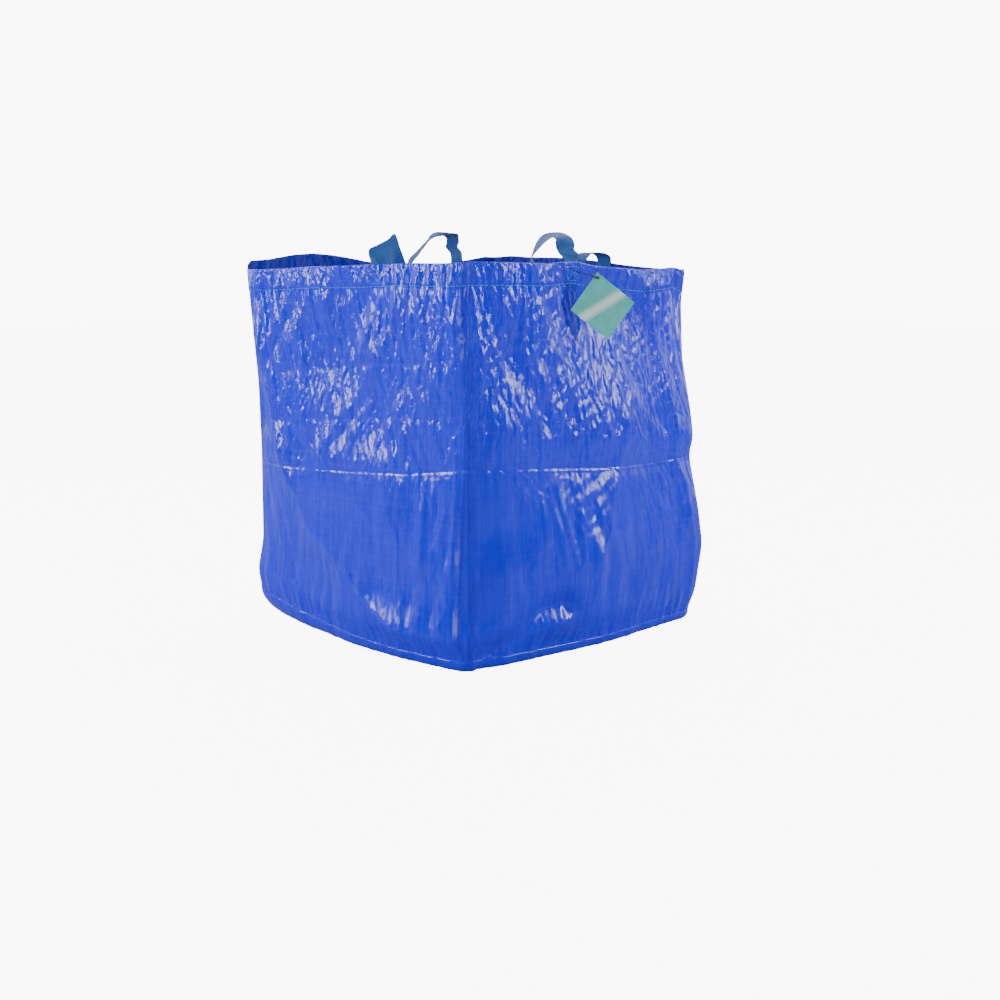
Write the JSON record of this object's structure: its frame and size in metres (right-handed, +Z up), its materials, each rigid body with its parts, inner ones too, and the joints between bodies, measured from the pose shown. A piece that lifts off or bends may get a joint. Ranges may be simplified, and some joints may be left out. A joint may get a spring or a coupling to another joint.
{
  "type": "fruit picking bag",
  "caption": "Square open-top harvest bag of woven plastic fabric with a flat base, sewn seams, webbing handles and a swing tag.",
  "frame": {"origin": "centre of the underside of the base, on the floor", "axes": "+Z up through the open mouth; the front panel faces -Y and the right panel faces +X"},
  "size_m": [0.5214, 0.4769, 0.5657],
  "materials": {
    "laminated_fabric": "gloss",
    "inner_fabric": "satin",
    "seam": "satin",
    "thread": "satin",
    "webbing": "matte",
    "tag_card": "satin",
    "black_nylon": "satin"
  },
  "bodies": {
    "bag": {"front_panel": "laminated_fabric", "front_hem": "inner_fabric", "front_base_seam": "seam", "corner_seam_front_right": "seam", "right_panel": "laminated_fabric", "right_hem": "inner_fabric", "right_base_seam": "seam", "corner_seam_right_back": "seam", "back_panel": "laminated_fabric", "back_hem": "inner_fabric", "back_base_seam": "seam", "corner_seam_back_left": "seam", "left_panel": "laminated_fabric", "left_hem": "inner_fabric", "left_base_seam": "seam", "corner_seam_left_front": "seam", "base_panel": "laminated_fabric", "hem_stitching": "thread", "left_handle_side_end": "webbing", "left_handle_side_stitching": "thread", "left_handle_front_end": "webbing", "left_handle_front_stitching": "thread", "right_handle_side_end": "webbing", "right_handle_side_stitching": "thread", "right_handle_back_end": "webbing", "right_handle_back_stitching": "thread"},
    "left_handle": {"left_handle": "webbing"},
    "right_handle": {"right_handle": "webbing"},
    "tag_string": {"tag_string": "black_nylon", "tag_lock": "black_nylon"},
    "swing_tag": {"swing_tag": "tag_card"}
  },
  "joints": [
    {"name": "left_handle_swing", "type": "hinge", "parent": "bag", "child": "left_handle", "pos_m": [-0.063, -0.02587, 0.553], "axis": [0.5549, -0.8319, 0], "range_deg": [0, 200]},
    {"name": "right_handle_swing", "type": "hinge", "parent": "bag", "child": "right_handle", "pos_m": [0.12996, 0.09054, 0.553], "axis": [-0.5419, 0.8405, 0], "range_deg": [0, 185]},
    {"name": "tag_string_swing", "type": "hinge", "parent": "bag", "child": "tag_string", "pos_m": [0.231, -0.062, 0.522], "axis": [0, -1, 0], "range_deg": [0, 50]},
    {"name": "swing_tag_turn", "type": "hinge", "parent": "tag_string", "child": "swing_tag", "pos_m": [0.261, -0.019, 0.5085], "axis": [0.8829, -0.4695, 0], "range_deg": [-25, 40]}
  ]
}
